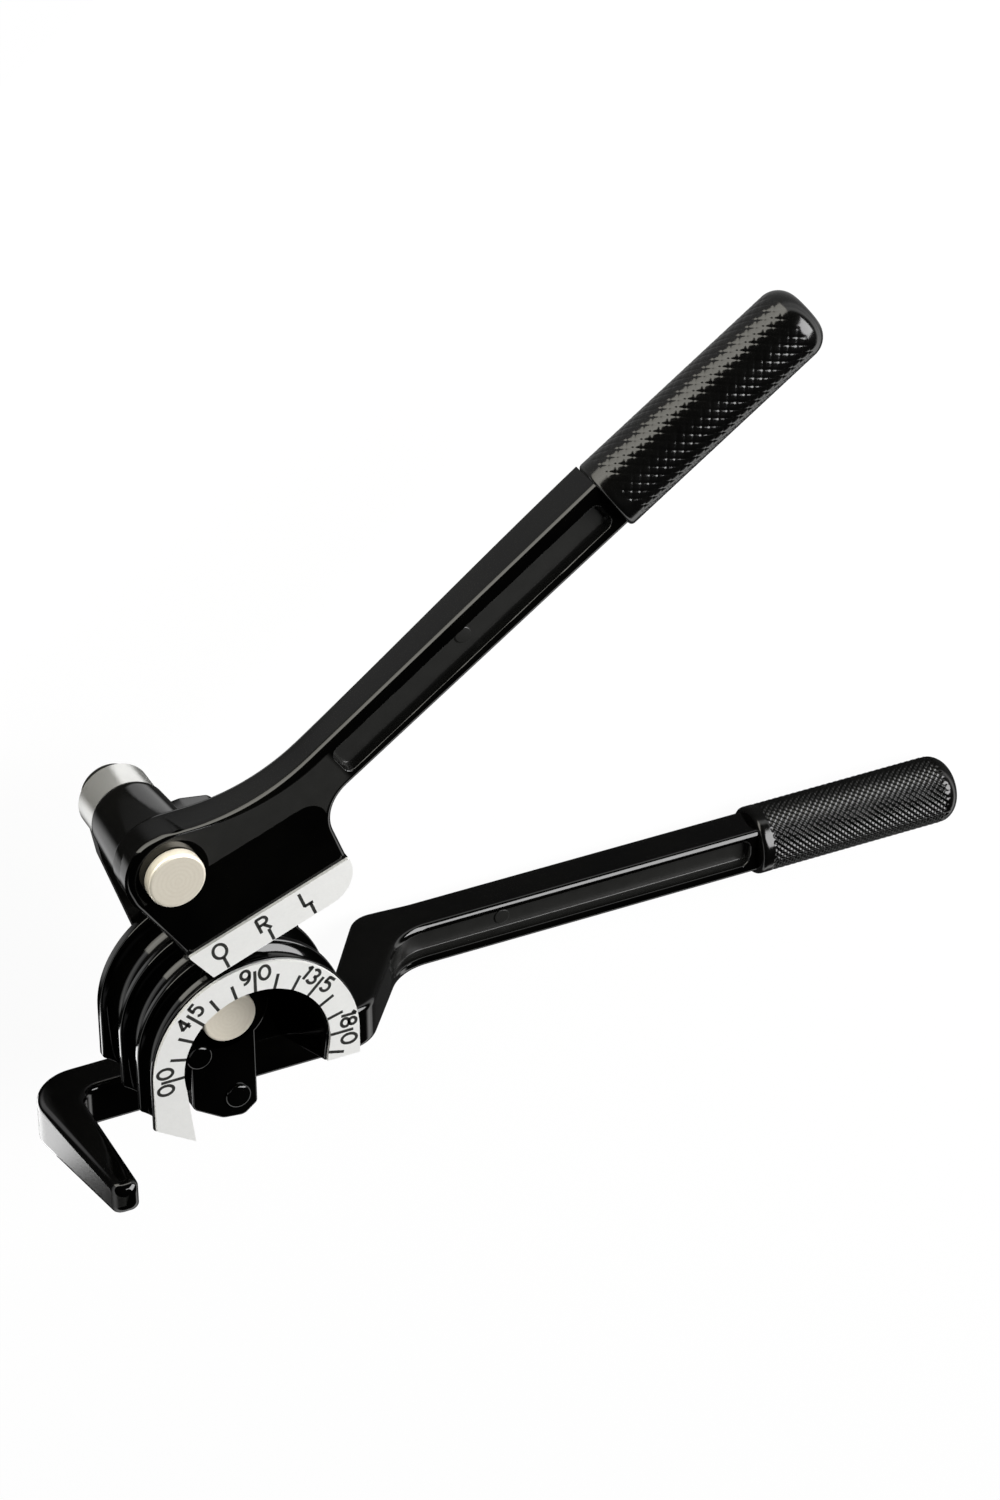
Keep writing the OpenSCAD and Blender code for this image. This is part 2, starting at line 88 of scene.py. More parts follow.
def stations(line, lengths, knots, steps):
    """Points on a line and their lengths along it: between each two knots, at that interval's steps."""
    spans = [low + (high - low) * part for low, high, part in zip(knots[:-1], knots[1:], steps)]
    at = np.append(np.concatenate(spans), knots[-1])
    return np.stack([np.interp(at, lengths, line[:, 0]), np.interp(at, lengths, line[:, 1])], axis=1), at


def even(count):
    """Steps from 0 up to but not including 1."""
    return np.linspace(0, 1, count, endpoint=False)


# A bar's section, as shares of its half sizes: front face, corner, side, corner, back face, corner, side,
# corner. loop_turn is the way that a point faces, and loop_face is 1 on the front face, -1 on the back.
half_face = np.append(0.2, np.linspace(0.4, 1, 25))
face = np.concatenate([-half_face[::-1], [0], half_face])
side = np.linspace(1, -1, 5)
bend = np.radians(np.linspace(0, 90, 10)[1:-1])
face_on, side_on, bend_on = np.ones_like(face), np.ones_like(side), np.ones_like(bend)
loop_a = np.concatenate([face_on, bend_on, side, -bend_on, -face_on, -bend_on, -side, bend_on])
loop_b = np.concatenate([face, bend_on, side_on, bend_on, -face, -bend_on, -side_on, -bend_on])
loop_turn = np.concatenate([0 * face, bend, 0 * side + np.pi / 2, bend + np.pi / 2, 0 * face + np.pi,
                            bend + np.pi, 0 * side + 1.5 * np.pi, bend + 1.5 * np.pi])
loop_face = np.where(np.isclose(np.abs(np.cos(loop_turn)), 1), np.cos(loop_turn), 0)


def pocket(s, b, start, end, half_w, corner_r, depth, wall):
    """Depth of a cast pocket at s along and b across: a rounded rectangle's signed distance d
    gives depth times smooth(0.5 - d / wall)."""
    beside_s = np.abs(s - (start + end) / 2) - (end - start) / 2 + corner_r
    beside_b = np.abs(b) - half_w + corner_r
    outside = np.hypot(np.maximum(beside_s, 0), np.maximum(beside_b, 0))
    d = outside + np.minimum(np.maximum(beside_s, beside_b), 0) - corner_r
    return depth * smooth(0.5 - d / wall)


def bar_loops(centre, axis_a, axis_b, half_a, half_b, r, dip):
    """Loops of a bar with rounded edges: centre + A a + B b, where a and b run round a rectangle with
    corner arcs of radius r, and the faces at a = +-half_a sink by dip."""
    a = loop_a * (half_a - r) + r * np.cos(loop_turn) - loop_face * dip
    b = loop_b * (half_b - r) + r * np.sin(loop_turn)
    return centre[:, None] + a[..., None] * axis_a[:, None] + b[..., None] * axis_b[:, None]


def skin(loops):
    """Faces over a stack of loops (m, k, 3): quads join loop to loop, and both end loops are filled.
    Where the volume, a sum of p0 . (p1 x p2) / 6 over triangles, is negative, the faces turn round."""
    m, k = loops.shape[:2]
    points = loops.reshape(-1, 3)
    index = np.arange(m * k).reshape(m, k)
    beside = np.roll(index, -1, axis=1)
    quads = np.stack([index[:-1], beside[:-1], beside[1:], index[1:]], axis=-1).reshape(-1, 4)
    ends = np.stack([index[0, ::-1], index[-1]])
    fans = np.stack([np.broadcast_to(ends[:, :1], (2, k - 2)), ends[:, 1:-1], ends[:, 2:]], axis=-1)
    corners = points[np.vstack([quads[:, :3], quads[:, [0, 2, 3]], fans.reshape(-1, 3)])]
    volume = np.einsum("ij,ij->", corners[:, 0], np.cross(corners[:, 1], corners[:, 2])) / 6
    if volume < 0:
        quads, ends = quads[:, ::-1], ends[:, ::-1]
    return points, quads, ends


mm = 0.001
sharp_turn = np.radians(38)


def piece(name, shapes, material, body, nodes, skin_and_sheen=()):
    """One object from closed shapes in millimetres, which rides on a body and stands for its nodes.
    skin_and_sheen gives, for the first shapes in turn, each point's share of rough cast skin with its
    painted
    sheen: the rest has none."""
    points, faces, base = [], [], 0
    for loops in shapes:
        more, quads, ends = skin(loops)
        points.append(more)
        faces += (quads + base).tolist() + (ends + base).tolist()
        base += len(more)
    mesh = bpy.data.meshes.new(name)
    mesh.from_pydata(np.vstack(points) * mm, [], faces)
    mesh.shade_smooth()
    mesh.set_sharp_from_angle(angle=sharp_turn)
    mesh.materials.append(material)
    if skin_and_sheen:
        share = np.concatenate([cast.ravel() for cast in skin_and_sheen])
        share = np.append(share, np.zeros(base - len(share)))
        mesh.attributes.new("cast", "FLOAT", "POINT").data.foreach_set("value", share)
    made = bpy.data.objects.new(name, mesh)
    bpy.context.scene.collection.objects.link(made)
    if nodes:
        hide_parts(*nodes)
    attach(made, body)


def round_end(distance, r):
    """How far a rounded end draws in at a distance from it: r - sqrt(r^2 - (r - distance)^2)."""
    short = np.clip(r - distance, 0, r)
    return r - np.sqrt(r * r - short * short)


def turns(count):
    """Angles of a full turn in equal steps."""
    return np.linspace(0, 2 * np.pi, count, endpoint=False)


def turned(r, angle, z):
    """Points round an upright axis: (r cos, r sin, z) for each radius, angle and height."""
    return np.stack(np.broadcast_arrays(r * np.cos(angle), r * np.sin(angle), z), axis=-1)


def disc(x, y, z, r, h, edge, way=1):
    """A low round mark: loops from under the face up to h on the way out, drawn in at the top by a
    rounded edge."""
    sunk = 0.4
    lift = np.radians(np.linspace(0, 90, 9))
    height = np.append(-sunk, h - edge + edge * np.sin(lift))[:, None]
    radius = (r - np.append(0, edge * (1 - np.cos(lift))))[:, None]
    return turned(radius, turns(48), z + way * height) + [x, y, 0]


class Shade:
    """A shader socket that takes part in Python arithmetic: each operation adds a Math node."""

    def __init__(self, tree, socket):
        self.tree = tree
        self.socket = socket

    def node(self, kind, settings=None, **inputs):
        """A new node: its settings are set first, then the values or links of its sockets."""
        made = self.tree.nodes.new(kind)
        for key, value in (settings or {}).items():
            setattr(made, key, value)
        for key, value in inputs.items():
            place = int(key[1:]) if key[0] == "_" else key.replace("_", " ")
            if isinstance(value, Shade):
                self.tree.links.new(value.socket, made.inputs[place])
            else:
                made.inputs[place].default_value = value
        return made

    def out(self, kind, output, settings=None, **inputs):
        """One output of a new node, wrapped."""
        return Shade(self.tree, self.node(kind, settings, **inputs).outputs[output])

    def math(self, operation, *values):
        """Result of a Math node with this operation on the values."""
        inputs = {f"_{i}": value for i, value in enumerate(values)}
        return self.out("ShaderNodeMath", 0, {"operation": operation}, **inputs)

    def __add__(self, other):
        return self.math("ADD", self, other)

    __radd__ = __add__

    def __mul__(self, other):
        return self.math("MULTIPLY", self, other)

    __rmul__ = __mul__

    def __sub__(self, other):
        return self.math("SUBTRACT", self, other)

    def __rsub__(self, other):
        return self.math("SUBTRACT", other, self)

    def most(self, other):
        """The greater of this value and another."""
        return self.math("MAXIMUM", self, other)

    def hypot(self, other):
        """Square root of the sum of both squares."""
        return self.math("SQRT", self * self + other * other)

    def axis(self, number):
        """One coordinate of this vector: 0, 1 or 2."""
        return self.out("ShaderNodeSeparateXYZ", number, None, Vector=self)

    def ramp(self, low, high):
        """0 below low, 1 above high, smooth between them."""
        return self.out("ShaderNodeMapRange", 0, {"interpolation_type": "SMOOTHSTEP"},
                        Value=self, From_Min=low, From_Max=high)

    def mix(self, first, second):
        """Colour between first and second, with this value as the factor."""
        first, second = (c if isinstance(c, Shade) else (*c, 1) for c in (first, second))
        return self.out("ShaderNodeMix", 2, {"data_type": "RGBA"}, _0=self, _6=first, _7=second)

    def noise(self, size, detail=2.0):
        """Noise from 0 to 1 on these coordinates, with cells of the given size in metres."""
        return self.out("ShaderNodeTexNoise", 0, None, Vector=self, Scale=1 / size, Detail=detail)

    def bump(self, distance):
        """Normal tilted by this height from 0 to 1, which stands for the given distance in metres."""
        return self.out("ShaderNodeBump", 0, None, Height=self, Distance=distance)


def finish(name, roughness, metallic=0.0):
    """A new material: (material, its shader, its Object coordinates wrapped)."""
    material = bpy.data.materials.new(name)
    material.use_nodes = True
    tree = material.node_tree
    shader = tree.nodes["Principled BSDF"]
    shader.inputs["Roughness"].default_value = roughness
    shader.inputs["Metallic"].default_value = metallic
    return material, shader, Shade(tree, tree.nodes.new("ShaderNodeTexCoord").outputs["Object"])


def feed(shader, **links):
    """Links wrapped values to the shader's sockets, by name."""
    for key, value in links.items():
        value.tree.links.new(value.socket, shader.inputs[key.replace("_", " ")])


def black_paint(name, sheen_keep=None):
    """Gloss black paint with a faint peel. The cast attribute, times sheen_keep's mask where there is one,
    is the share of a coarser skin that is less glossy and painted lighter: a painted sheen for a soft
    reflection."""
    gloss_dark, gloss_light = (0.0004, 0.0004, 0.0004), (0.0012, 0.0012, 0.001)
    sheen_dark, sheen_light = (0.010, 0.010, 0.0092), (0.016, 0.016, 0.015)
    peel_height = 0.00001
    material, shader, place = finish(name, 0.1)
    cast = place.out("ShaderNodeAttribute", 2, {"attribute_name": "cast"})
    if sheen_keep:
        cast = cast * sheen_keep(place)
    clouds = place.noise(0.02, 3.0)
    gloss = clouds.ramp(0.3, 0.7).mix(gloss_dark, gloss_light)
    # Painted sheen: the coarse skin's colour is lighter than the gloss, for a soft reflection that no lamp
    # gives.
    coarse_sheen = place.noise(0.003, 4.0).mix(sheen_dark, sheen_light)
    peel = 0.6 * place.noise(0.0013) + 0.4 * place.noise(0.005)
    feed(shader, Base_Color=cast.mix(gloss, coarse_sheen), Roughness=0.06 + 0.05 * clouds + 0.26 * cast,
         Normal=peel.bump(peel_height))
    return material


paint = black_paint("casting_black")
hook_x, hook_tip, hook_back = -29.165, 35.52, 10.9
tip_t, tip_r, tip_rise = 5.7, 2.2, 3.4
bar_top, bar_low, bar_back = -20.8, -31.7, -8.8
fall_start, root_start, root_end = 25, 40, 57.4
arm_front, arm_back, arm_end = -22.2, -32.2, 149.5
arm_mid, arm_half, arm_z = -26.25, 5.8, (arm_front + arm_back) / 2
tang_r, tang_end = 4.6, 196.5
front, front_lengths, front_arcs = contour([(hook_x, hook_tip, 0), (hook_x, 0, 5), (root_start, 0, 10),
                                            (root_end, arm_front, 14), (arm_end, arm_front, 0)])
back, back_lengths, back_arcs = contour([(hook_x - tip_t, hook_tip, 0),
                                         (hook_x - hook_back, bar_back, 10.5), (33.5, bar_back, 10),
                                         (50.6, -33.1, 6), (63.6, arm_back, 20), (arm_end, arm_back, 0)])
# Steps along the finger, its bend, the bar, the root's bend, slope and bend, and the arm.
tip_steps = [0, 0.002, 0.008, 0.017, 0.028, 0.042, 0.06]
handle_steps = [np.append(tip_steps, np.linspace(0.08, 0.96, 14)), even(14), even(22), even(10), even(10),
                even(18), np.append(even(36) * 0.93, 0.93 + 0.07 * even(28))]
front_knots = [0, *front_arcs, front_lengths[-1]]
back_knots = [0, *back_arcs[[0, 1, 2, 3, 4, 7]], back_lengths[-1]]
front_at, front_s = stations(front, front_lengths, front_knots, handle_steps)
back_at, _ = stations(back, back_lengths, back_knots, handle_steps)
draw_in = round_end(front_s, tip_r)[:, None]
middle = (front_at + back_at) / 2
middle_x, middle_z = middle[:, 0], middle[:, 1]
top = np.interp(middle_x, [root_start, root_end], [bar_top, arm_mid + arm_half])
low = np.interp(middle_x, [fall_start, root_start], [bar_low, arm_mid - arm_half])
low = low + tip_rise * np.clip(middle_z / hook_tip, 0, 1) * (middle_x < hook_x)
half_a = np.linalg.norm(front_at - back_at, axis=1)[:, None] / 2 - draw_in
half_b = (top - low)[:, None] / 2 - draw_in
toward = unit(front_at - back_at)
centre = np.stack([middle_x, (top + low) / 2, middle_z], axis=1)
handle_edge = 1.6
edge = np.minimum(handle_edge, 0.8 * np.minimum(half_a, half_b))
# The pockets lie a little above the arm's middle line, and run out towards the root.
pocket_depth, pocket_wall, pocket_up, run_out, run_out_l = 2.3, 1.0, 0.4, 47, 16
sink = pocket(middle[:, :1], loop_b * (half_b - edge) - pocket_up, start=46, end=147.1, half_w=3.1,
              corner_r=1.8, depth=pocket_depth, wall=pocket_wall)
sink = sink * smooth((middle[:, :1] - run_out) / run_out_l)
handle = bar_loops(centre, np.stack([toward[:, 0], 0 * top, toward[:, 1]], axis=1),
                   np.broadcast_to([0.0, 1.0, 0.0], centre.shape), half_a, half_b, edge, sink)
spoke = np.arctan2(handle[-1, :, 1] - arm_mid, handle[-1, :, 2] - arm_z)
tang = turned(tang_r, spoke, np.array([[arm_end], [tang_end]]))[..., [2, 1, 0]] + [0, arm_mid, arm_z]
# A round casting mark stands on each front pocket's floor.
mark_x, mark_up, mark_r, mark_h, mark_edge = 84, 0.6, 1.9, 0.3, 0.25
mark = disc(mark_x, arm_mid + mark_up, arm_front - pocket_depth, mark_r, mark_h, mark_edge)
# The rough skin shows in the pockets and on the finger's outer face, and fades out past the bend.
# There it is painted lighter: a painted sheen.
sheen_fade = 8
pocket_sheen = np.abs(loop_face) * sink / pocket_depth
finger_sheen = (loop_face < 0) * smooth((hook_tip + sheen_fade - front_s[:, None]) / sheen_fade)
cast = np.vstack([np.maximum(pocket_sheen, finger_sheen), np.zeros(tang.shape[:2])])
piece("lower_handle_casting", [np.vstack([handle, tang]), mark],
      paint, "lower_arm_and_die", ["lower_handle"], [cast, np.ones(mark.shape[:2])])


# Bending die: a half-round ring with a groove for each of three tubes, two straight legs, a web that
# closes its back, and a hub with a foot that is riveted to the bar. Cast and painted like the handle.
bend_r, rim_in, die_top = 23.8, 16.35, 30.72
rim_r, rim_bevel, bevel_mid = 0.45, 0.4, 0.12
quarter = np.radians([0, 22.5, 45, 67.5, 90])
# Each groove is a tube's diameter and its height along the bend axis.
grooves = [(9.53, 7.065), (7.94, 17.6), (6.35, 26.545)]


def rim(low_z, high_z):
    """Outer edge of one flange as (r, z): two quarter arcs with a straight run between them."""
    inner = bend_r - rim_r
    out = np.concatenate([inner + rim_r * np.sin(quarter), inner + rim_r * np.cos(quarter)])
    rise = np.concatenate([low_z + rim_r - rim_r * np.cos(quarter),
                           high_z - rim_r + rim_r * np.sin(quarter)])
    return np.stack([out, rise], axis=1)


def half_round(tube, z, gap, way):
    """Groove of one tube as (r, z): an arc of the tube's radius about the bend radius, to one way of it,
    which starts and ends at the gap from there."""
    widest = np.arccos(2 * gap / tube)
    angle = np.linspace(-widest, widest, 21)
    return np.stack([bend_r + way * tube / 2 * np.cos(angle), z + tube / 2 * np.sin(angle)], axis=1)


# The ring's section as (r, z): the grooved rim, then the front, inner and back faces.
flange_z = [0] + [z + way * tube / 2 for tube, z in grooves for way in (-1, 1)] + [die_top]
flanges = [rim(low_z, high_z) for low_z, high_z in zip(flange_z[::2], flange_z[1::2])]
outer = flanges[:1]
for groove, flange in zip(grooves, flanges[1:]):
    outer += [half_round(*groove, rim_r, -1), flange]
profile = np.vstack([*outer, np.linspace([22.5, die_top], [rim_in + rim_bevel, die_top], 9),
                     [[rim_in + bevel_mid, die_top - bevel_mid], [rim_in, die_top - rim_bevel]],
                     np.linspace([rim_in, 29], [rim_in, 1], 9), np.linspace([rim_in, 0], [23, 0], 6)])


def inward(loop):
    """Unit vectors that point into a closed plane line: its tangent, turned by a quarter to that side."""
    tangent = unit(np.roll(loop, -1, axis=0) - np.roll(loop, 1, axis=0))
    area = np.sum(loop[:, 0] * np.roll(loop[:, 1], -1) - loop[:, 1] * np.roll(loop[:, 0], -1))
    return np.stack([-tangent[:, 1], tangent[:, 0]], axis=1) * np.sign(area)


leg_edge, lean_r = 0.35, 19
edge_in = leg_edge * (1 - np.sin(quarter))[:, None]
edge_up = leg_edge * (1 - np.cos(quarter))[:, None]
leg_end = profile + inward(profile) * edge_in[..., None]


def leg(length, slant, lean, gusset):
    """Loops of one straight leg, from the ring down: the profile moves down by its share of the leg's
    length, which grows by the slant towards the inner side and by the gusset towards the back, and the
    inner side leans in."""
    shares = np.linspace(0.04, 0.94, 14)[:, None]
    down = np.concatenate([shares, 1 - edge_up[::-1] / length])
    section = np.concatenate([np.broadcast_to(profile, (len(shares), *profile.shape)), leg_end[::-1]])
    r, z = np.moveaxis(section, -1, 0)
    r = r - lean * down * np.clip((lean_r - r) / (lean_r - rim_in), 0, 1)
    longer = slant * (bend_r - r) / (bend_r - rim_in + lean) + gusset * (1 - z / die_top)
    return np.stack([r, -down * (length + longer), z], axis=-1)


left_leg = leg(length=12.4, slant=5.7, lean=1.9, gusset=0) * [-1, 1, 1]
right_leg = leg(length=6.9, slant=0, lean=0.8, gusset=12.3)
arch = turned(profile[:, 0], np.linspace(0, np.pi, 100)[:, None], profile[:, 1])
ring = np.concatenate([right_leg[::-1], arch, left_leg])


def spokes(angle):
    """Unit vectors in the plane at these angles: (cos, sin)."""
    return np.stack([np.cos(angle), np.sin(angle)], axis=-1)


def slab(border, levels):
    """Loops of a plate: its border at each level (z, inset), moved inwards by the inset."""
    z, inset = np.array(levels, float).T[:, :, None]
    flat = border + inward(border) * inset[..., None]
    return np.concatenate([flat, np.broadcast_to(z, flat.shape[:2])[..., None]], axis=-1)


def outline(corners):
    """Closed line through rounded corners (x, y, r), which starts halfway along its last side."""
    start = (np.array(corners[0][:2], float) + np.array(corners[-1][:2], float)) / 2
    return contour([(*start, 0), *corners, (*start, 0)])[0][:-1]


def edge_levels(low_z, high_z, r):
    """Heights and insets of a plate from low_z to high_z with its upper edge rounded by r."""
    return [(low_z, 0)] + [(high_z - r + r * np.sin(t), r * (1 - np.cos(t))) for t in quarter]


hub_r, hub_top, hub_edge = 10.5, 13.5, 0.8
foot_left, foot_right, foot_high, foot_low = -8, 7, 3, -29.6
foot_corners = [(foot_right, foot_high, 0.5), (foot_left, foot_high, 0.5), (foot_left, foot_low + 5.2, 2),
                (-1.2, foot_low + 0.8, 3), (3.8, foot_low + 0.2, 2.5), (foot_right, foot_low + 2.8, 1.2)]
foot = slab(outline(foot_corners), edge_levels(0, hub_top, hub_edge))
around = turns(96)
hub = slab(hub_r * spokes(around), edge_levels(0, hub_top, hub_edge))
web_r, web_low, web_high = 17.2, 0.02, 5.5
web_sides = [(-16.9, -4), (-15.4, -16), (-7.5, -23.4), (5, -23), (6.6, -17), (18.9, -17), (18.9, -6)]
web = slab(np.vstack([web_r * spokes(np.linspace(np.radians(-19.8), np.pi, 60)), web_sides]),
           [(web_low, 0), (web_high, 0)])
boss_r, boss_h, boss_edge = 3, 0.9, 0.85
bosses = [disc(x, y, hub_top, boss_r, boss_h, boss_edge) for x, y in ((-6.3, -10.3), (2.3, -23.4))]
piece("bending_die_casting", [ring, web, hub, foot, *bosses],
      paint, "lower_arm_and_die", ["bending_die"])


# Rivets: two steel rivets through the bar into the die's foot. Only their ends show, at the bar's back,
# where they were ground and painted over.
rivet_x, rivet_y, rivet_r, rivet_h, rivet_edge = 3.5, -25.35, 2, 0.06, 0.05
piece("rivet_ends",
      [disc(x, rivet_y, bar_back, rivet_r, rivet_h, rivet_edge, -1) for x in (-rivet_x, rivet_x)],
      paint, "lower_arm_and_die", ["die_rivets"])


# Upper handle: one casting with the grooved shoe, the pivot barrel, the spine between them, and a front
# plate that runs on as the pocketed arm. Painted like the lower handle.
shoe_turn, arm_tilt = np.radians(20.8), np.radians(14.53)
lip_n, wall_n, shoe_left, shoe_right, wall_left = 25.0, 33.0, -0.3, 36.1, -2.9
pivot_u, pivot_n = 2.4, 53.7
plate_front, plate_t = 30.72, 8.4
plate_mid = plate_front - plate_t / 2


def in_shoe(points):
    """Turns points from the shoe's own axes (along the tube, away from the die, forward) to the tool's."""
    u, n, z = np.moveaxis(points, -1, 0)
    return np.stack([u * np.cos(shoe_turn) - n * np.sin(shoe_turn),
                     u * np.sin(shoe_turn) + n * np.cos(shoe_turn), z], axis=-1)


def on_arm(s, d):
    """Point s along the upper arm and d from the die's centre, in the shoe's axes."""
    return s * np.cos(arm_tilt) - d * np.sin(arm_tilt), s * np.sin(arm_tilt) + d * np.cos(arm_tilt)


def arm_line(u, d):
    """Point (u, n) on the line that runs along the arm at d from the die's centre: n is
    (d + u sin) / cos of the arm's tilt."""
    return u, (d + u * np.sin(arm_tilt)) / np.cos(arm_tilt)


def neck_sheen_mask(place):
    """Mask of the painted sheen: 1 on the neck and the arm, 0 on the shoe's dressed front, which ends at a
    rounded corner, and on the spot face round the pin's head. Its ragged border is a painted reflection's
    edge."""
    corner_u, corner_n, corner_r, spot_r, blur = 31.7 * mm, 45.9 * mm, 4.8 * mm, 8.0 * mm, 0.1 * mm
    x, y = place.axis(0), place.axis(1)
    cos, sin = float(np.cos(shoe_turn)), float(np.sin(shoe_turn))
    u, n = x * cos + y * sin, y * cos - x * sin
    ragged = 0.0006 * place.noise(0.004)
    beyond = (u - corner_u).most(0.0).hypot((n - corner_n).most(0.0)) + ragged
    from_pin = (u - pivot_u * mm).hypot(n - pivot_n * mm)
    return beyond.ramp(corner_r - blur, corner_r + blur) * from_pin.ramp(spot_r - blur, spot_r + blur)


upper_paint = black_paint("upper_black", neck_sheen_mask)
over, under, neck_s, grip_s, tang_l = 49.8, 36.4, 54.5, 132.3, 49
arm_d = (over + under) / 2
saddle_u, saddle_dip, saddle_r, throat_r = 24.5, 1.7, 45, 9
saddle = (*arm_line(saddle_u, over - saddle_dip), saddle_r)
throat = (*arm_line(shoe_right, under), throat_r)
upper, upper_lengths, upper_arcs = contour([(*on_arm(grip_s, over), 0), saddle, (5.0, 62.9, 8.5),
                                            (-7.6, 63.9, 9), (-7.3, 51, 5), (wall_left, wall_n, 0)])
lower, lower_lengths, lower_arcs = contour([(*on_arm(grip_s, under), 0), throat,
                                            (shoe_right, wall_n, 0)])
# Steps along the arm, on to the saddle, over it, round the barrel's crown, and down to the shoe.
arm_run = grip_s - neck_s
plate_steps = [np.concatenate([0.05 * even(22), 0.05 + 0.89 * even(30), 0.94 + 0.06 * even(24)]), even(6),
               even(26), even(40), even(20)]
upper_knots = [0, arm_run, *upper_arcs[[0, 1, 6]], upper_lengths[-1]]
lower_knots = [0, arm_run, lower_arcs[0], lower_arcs[1], lower_arcs[1] + 7, lower_lengths[-1]]
upper_at, _ = stations(upper, upper_lengths, upper_knots, plate_steps)
lower_at, _ = stations(lower, lower_lengths, lower_knots, plate_steps)
flat = (upper_at + lower_at) / 2
half_b = np.linalg.norm(upper_at - lower_at, axis=1)[:, None] / 2
ahead = np.broadcast_to([0.0, 0.0, 1.0], (len(flat), 3))
beside = np.concatenate([unit(upper_at - lower_at), 0 * flat[:, :1]], axis=1)
mid = np.concatenate([flat, 0 * flat[:, :1] + plate_mid], axis=1)
along = flat[:, :1] * np.cos(arm_tilt) + flat[:, 1:] * np.sin(arm_tilt)
front_edge, back_edge = 1.9, 0.9
edge = front_edge * (loop_a + 1) / 2 + back_edge * (1 - loop_a) / 2
pocket_start = 56
sink = pocket(along, loop_b * (half_b - edge), start=pocket_start, end=129.9, half_w=3.3, corner_r=1.6,
              depth=pocket_depth, wall=pocket_wall)
# Towards the grip, the plate's back lies deeper by twice this.
deeper = 0.8 * smooth((along - 50) / 80)
plate = bar_loops(mid - deeper * ahead, ahead, beside, plate_t / 2 + deeper, half_b, edge, sink)
spoke = np.arctan2((plate[0] - mid[0]) @ beside[0], plate[0, :, 2] - plate_mid)
tang_rim = tang_r * (np.sin(spoke)[:, None] * beside[0] + np.cos(spoke)[:, None] * ahead[0])
tang = np.stack([np.array([*on_arm(s, arm_d), plate_mid]) + tang_rim for s in (grip_s + tang_l, grip_s)])
mark_s, mark_d = 92, 43.6
mark = disc(*on_arm(mark_s, mark_d), plate_front - pocket_depth, mark_r, mark_h, mark_edge)
# The rough skin shows in the pockets, and on the neck's front face up to where the pocket starts.
# There it is painted lighter: a painted sheen.
sheen_fade = 1.5
pocket_sheen = np.abs(loop_face) * sink / pocket_depth
neck_sheen = np.maximum(loop_face, 0) * smooth((pocket_start - along) / sheen_fade)
cast = np.vstack([np.zeros(tang.shape[:2]), np.maximum(pocket_sheen, neck_sheen)])

# The shoe's section as (n, z): the grooved lip, the front face, the step to the spine and the back face.
shoe_back, shoe_h, step_n = 0.6, 12.5, wall_n + 0.2
finer_at_lip = 1 - np.cos(np.linspace(0, 1, 14) * np.pi / 2)
front_n = lip_n + (step_n - lip_n) * finer_at_lip
back_n = lip_n + shoe_h * finer_at_lip[::-1]
block = np.vstack([[(lip_n, shoe_back + 0.5)],
                   *[half_round(*groove, lip_n - bend_r, 1) for groove in grooves],
                   [(lip_n, plate_front - 0.3)],
                   np.stack([front_n, 0 * front_n + plate_front - 0.02], axis=1),
                   [(step_n, 24), (lip_n + shoe_h, 22.6)],
                   np.stack([back_n, 0 * back_n + shoe_back], axis=1)])
shoe_l, shoe_edge, end_r = 33, 0.4, 7.3
end_steps = np.array([0, 0.002, 0.006, 0.012])
across = np.concatenate([end_steps, np.linspace(0.03, 0.97, 24), 1 - end_steps[::-1]])
shrink = round_end(np.minimum(across, 1 - across) * shoe_l, shoe_edge)[:, None, None]
block_at = block + inward(block) * shrink
from_lip = block_at[..., 0] - lip_n
left_u = shoe_left + (wall_left - shoe_left) * np.clip(from_lip / (wall_n - lip_n), 0, 1)
right_u = shoe_right - round_end(from_lip, end_r)
shoe = np.concatenate([(left_u + across[:, None] * (right_u - left_u))[..., None], block_at], axis=-1)

spine = slab(outline([(wall_left + 0.1, wall_n + 0.5, 0.5), (19.4, wall_n + 0.5, 1), (19.4, 47.7, 2),
                      (13.4, 51.1, 3), (pivot_u, pivot_n, 2), (-5.2, 50.7, 1)]),
             [(22.6, 0), (8.0, 0), (7.5, 0.15), (7.15, 0.5), (7.0, 1)])
barrel_low, barrel_r, barrel_flare, barrel_edge, barrel_flat, clear = 7, 8.4, 1.8, 0.7, 8.66, 0.03
levels = np.array([7, 7.1, 7.35, 7.7, *np.linspace(9, 30, 12)])[:, None]
rise = levels - barrel_low
flared_r = barrel_r + barrel_flare * rise / (plate_front - barrel_low) - clear
barrel = turned(flared_r - round_end(rise, barrel_edge), around, levels)
barrel[..., 1] = np.minimum(barrel[..., 1], barrel_flat)
barrel = barrel + [pivot_u, pivot_n, 0]
piece("upper_handle_casting",
      [in_shoe(shape) for shape in (np.vstack([tang, plate]), mark, shoe, spine, barrel)],
      upper_paint, "upper_arm_and_shoe", ["upper_handle"], [cast, np.ones(mark.shape[:2])])


# Grips: closed steel sleeves pressed on the tangs, cut with a diamond knurl between a plain collar and a
# plain domed end, and blackened. The upper one has a coarser knurl.
grip_black, grip_shader, grip_place = finish("grip_black", 0.15)
grip_dark, grip_light = (0.001, 0.001, 0.001), (0.003, 0.003, 0.0028)
grain_height = 0.000008
feed(grip_shader,
     Base_Color=grip_place.noise(0.006).mix(grip_dark, grip_light),
     Roughness=0.1 + 0.1 * grip_place.noise(0.003),
     Normal=grip_place.noise(0.0008).bump(grain_height))
grip_r, bore_r, dome_r, shoulder_r = 8.09, 4.63, 5, 1.0


